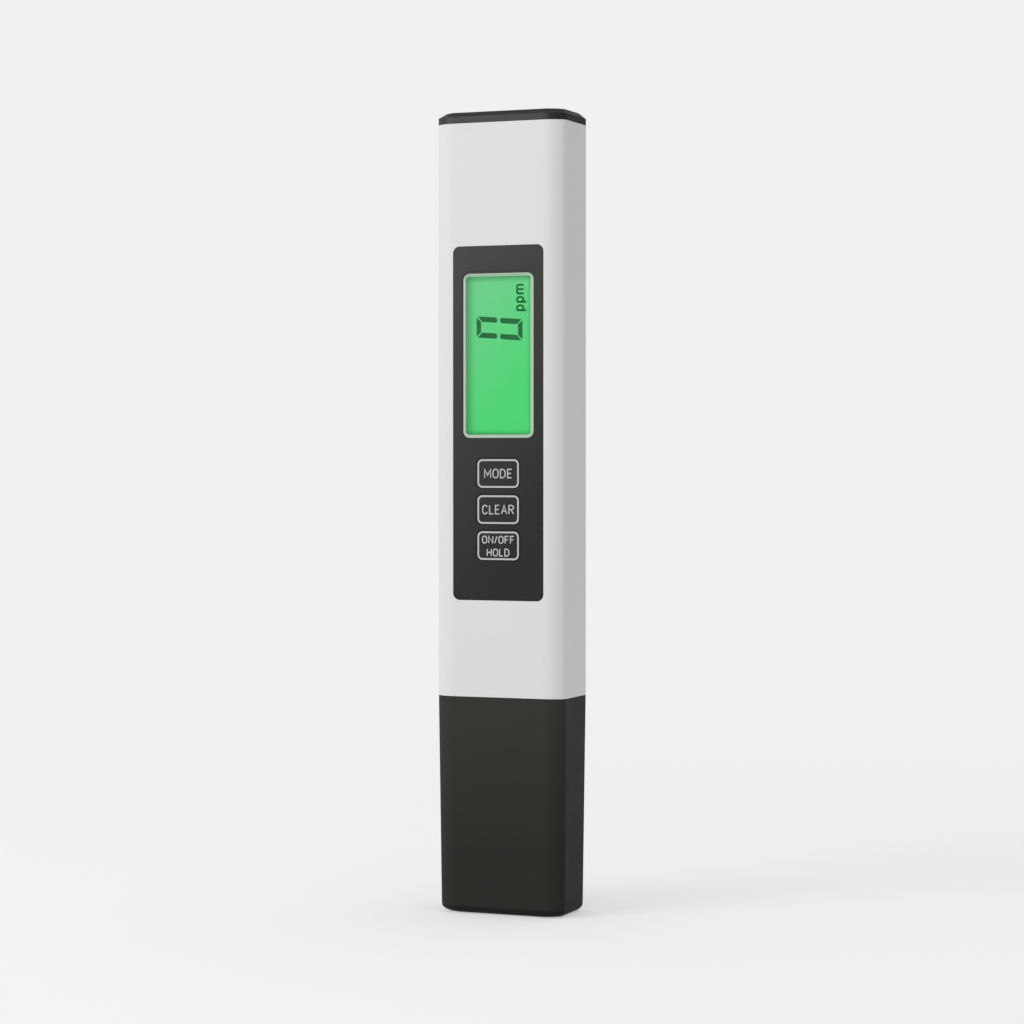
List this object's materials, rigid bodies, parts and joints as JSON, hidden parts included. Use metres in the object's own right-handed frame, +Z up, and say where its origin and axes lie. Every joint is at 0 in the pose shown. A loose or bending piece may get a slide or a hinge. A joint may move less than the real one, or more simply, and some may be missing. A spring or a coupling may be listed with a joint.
{
  "type": "tds meter",
  "caption": "Slim pen tester for dissolved solids in water, with a backlit display, press keys, a pull-off battery cap and a probe cap it stands on.",
  "frame": {"origin": "middle of the underside of the probe cap, where the pen stands", "axes": "+Z up the pen, front face with the display towards -Y, +X to the right seen from the front"},
  "size_m": [0.0264, 0.0144, 0.154],
  "materials": {
    "white_plastic": "satin moulded",
    "black_plastic": "satin moulded",
    "base_plastic": "satin moulded",
    "panel_plastic": "matt film",
    "key_plastic": "matt film",
    "trim_plastic": "satin",
    "clear_plastic": "clear",
    "display_glass": "backlit liquid crystal cell",
    "guide_plastic": "diffusing",
    "led_plastic": "clear resin",
    "carrier_plastic": "satin moulded",
    "holder_plastic": "satin moulded",
    "switch_plastic": "satin moulded",
    "plunger_plastic": "satin moulded",
    "chip_plastic": "moulded epoxy",
    "board_laminate": "solder mask",
    "component_ceramic": "ceramic",
    "seal_rubber": "matt",
    "lead_rubber": "satin insulation",
    "steel": "plated",
    "cell_steel": "plated",
    "contact_metal": "plated",
    "pin_steel": "polished",
    "sensor_steel": "polished"
  },
  "bodies": {
    "cap": {"probe_cap": "black_plastic"},
    "meter": {"casing": "white_plastic", "front_panel": "panel_plastic", "window_trim": "trim_plastic", "display_lens": "clear_plastic", "lcd_glass": "display_glass", "light_guide": "guide_plastic", "backlight_leds": "led_plastic", "connector_strip": "seal_rubber", "display_carrier": "carrier_plastic", "carrier_screws": "steel", "main_board": "board_laminate", "microcontroller": "chip_plastic", "crystal": "steel", "chip_components": "component_ceramic", "mode_switch": "switch_plastic", "clear_switch": "switch_plastic", "power_switch": "switch_plastic", "battery_holder": "holder_plastic", "lower_cell": "cell_steel", "upper_cell": "cell_steel", "positive_contact": "contact_metal", "negative_contact": "contact_metal", "link_contact": "contact_metal", "probe_base": "base_plastic", "neck_seal": "seal_rubber", "left_pin": "pin_steel", "right_pin": "pin_steel", "temperature_sensor": "sensor_steel", "sensor_leads": "lead_rubber"},
    "top": {"top_cap": "black_plastic", "top_seal": "seal_rubber"},
    "mode_button": {"mode_key": "key_plastic", "mode_plunger": "plunger_plastic"},
    "clear_button": {"clear_key": "key_plastic", "clear_plunger": "plunger_plastic"},
    "power_button": {"power_key": "key_plastic", "power_plunger": "plunger_plastic"}
  },
  "joints": [
    {"name": "cap_pull", "type": "slide", "parent": "cap", "child": "meter", "axis": [0, 0, 1], "range_m": [0, 0.045]},
    {"name": "top_cap_pull", "type": "slide", "parent": "meter", "child": "top", "axis": [0, 0, 1], "range_m": [0, 0.012]},
    {"name": "mode_press", "type": "slide", "parent": "meter", "child": "mode_button", "axis": [0, 1, 0], "range_m": [0, 0.00025], "stiffness_N_per_m": 4000},
    {"name": "clear_press", "type": "slide", "parent": "meter", "child": "clear_button", "axis": [0, 1, 0], "range_m": [0, 0.00025], "stiffness_N_per_m": 4000},
    {"name": "power_press", "type": "slide", "parent": "meter", "child": "power_button", "axis": [0, 1, 0], "range_m": [0, 0.00025], "stiffness_N_per_m": 4000}
  ]
}
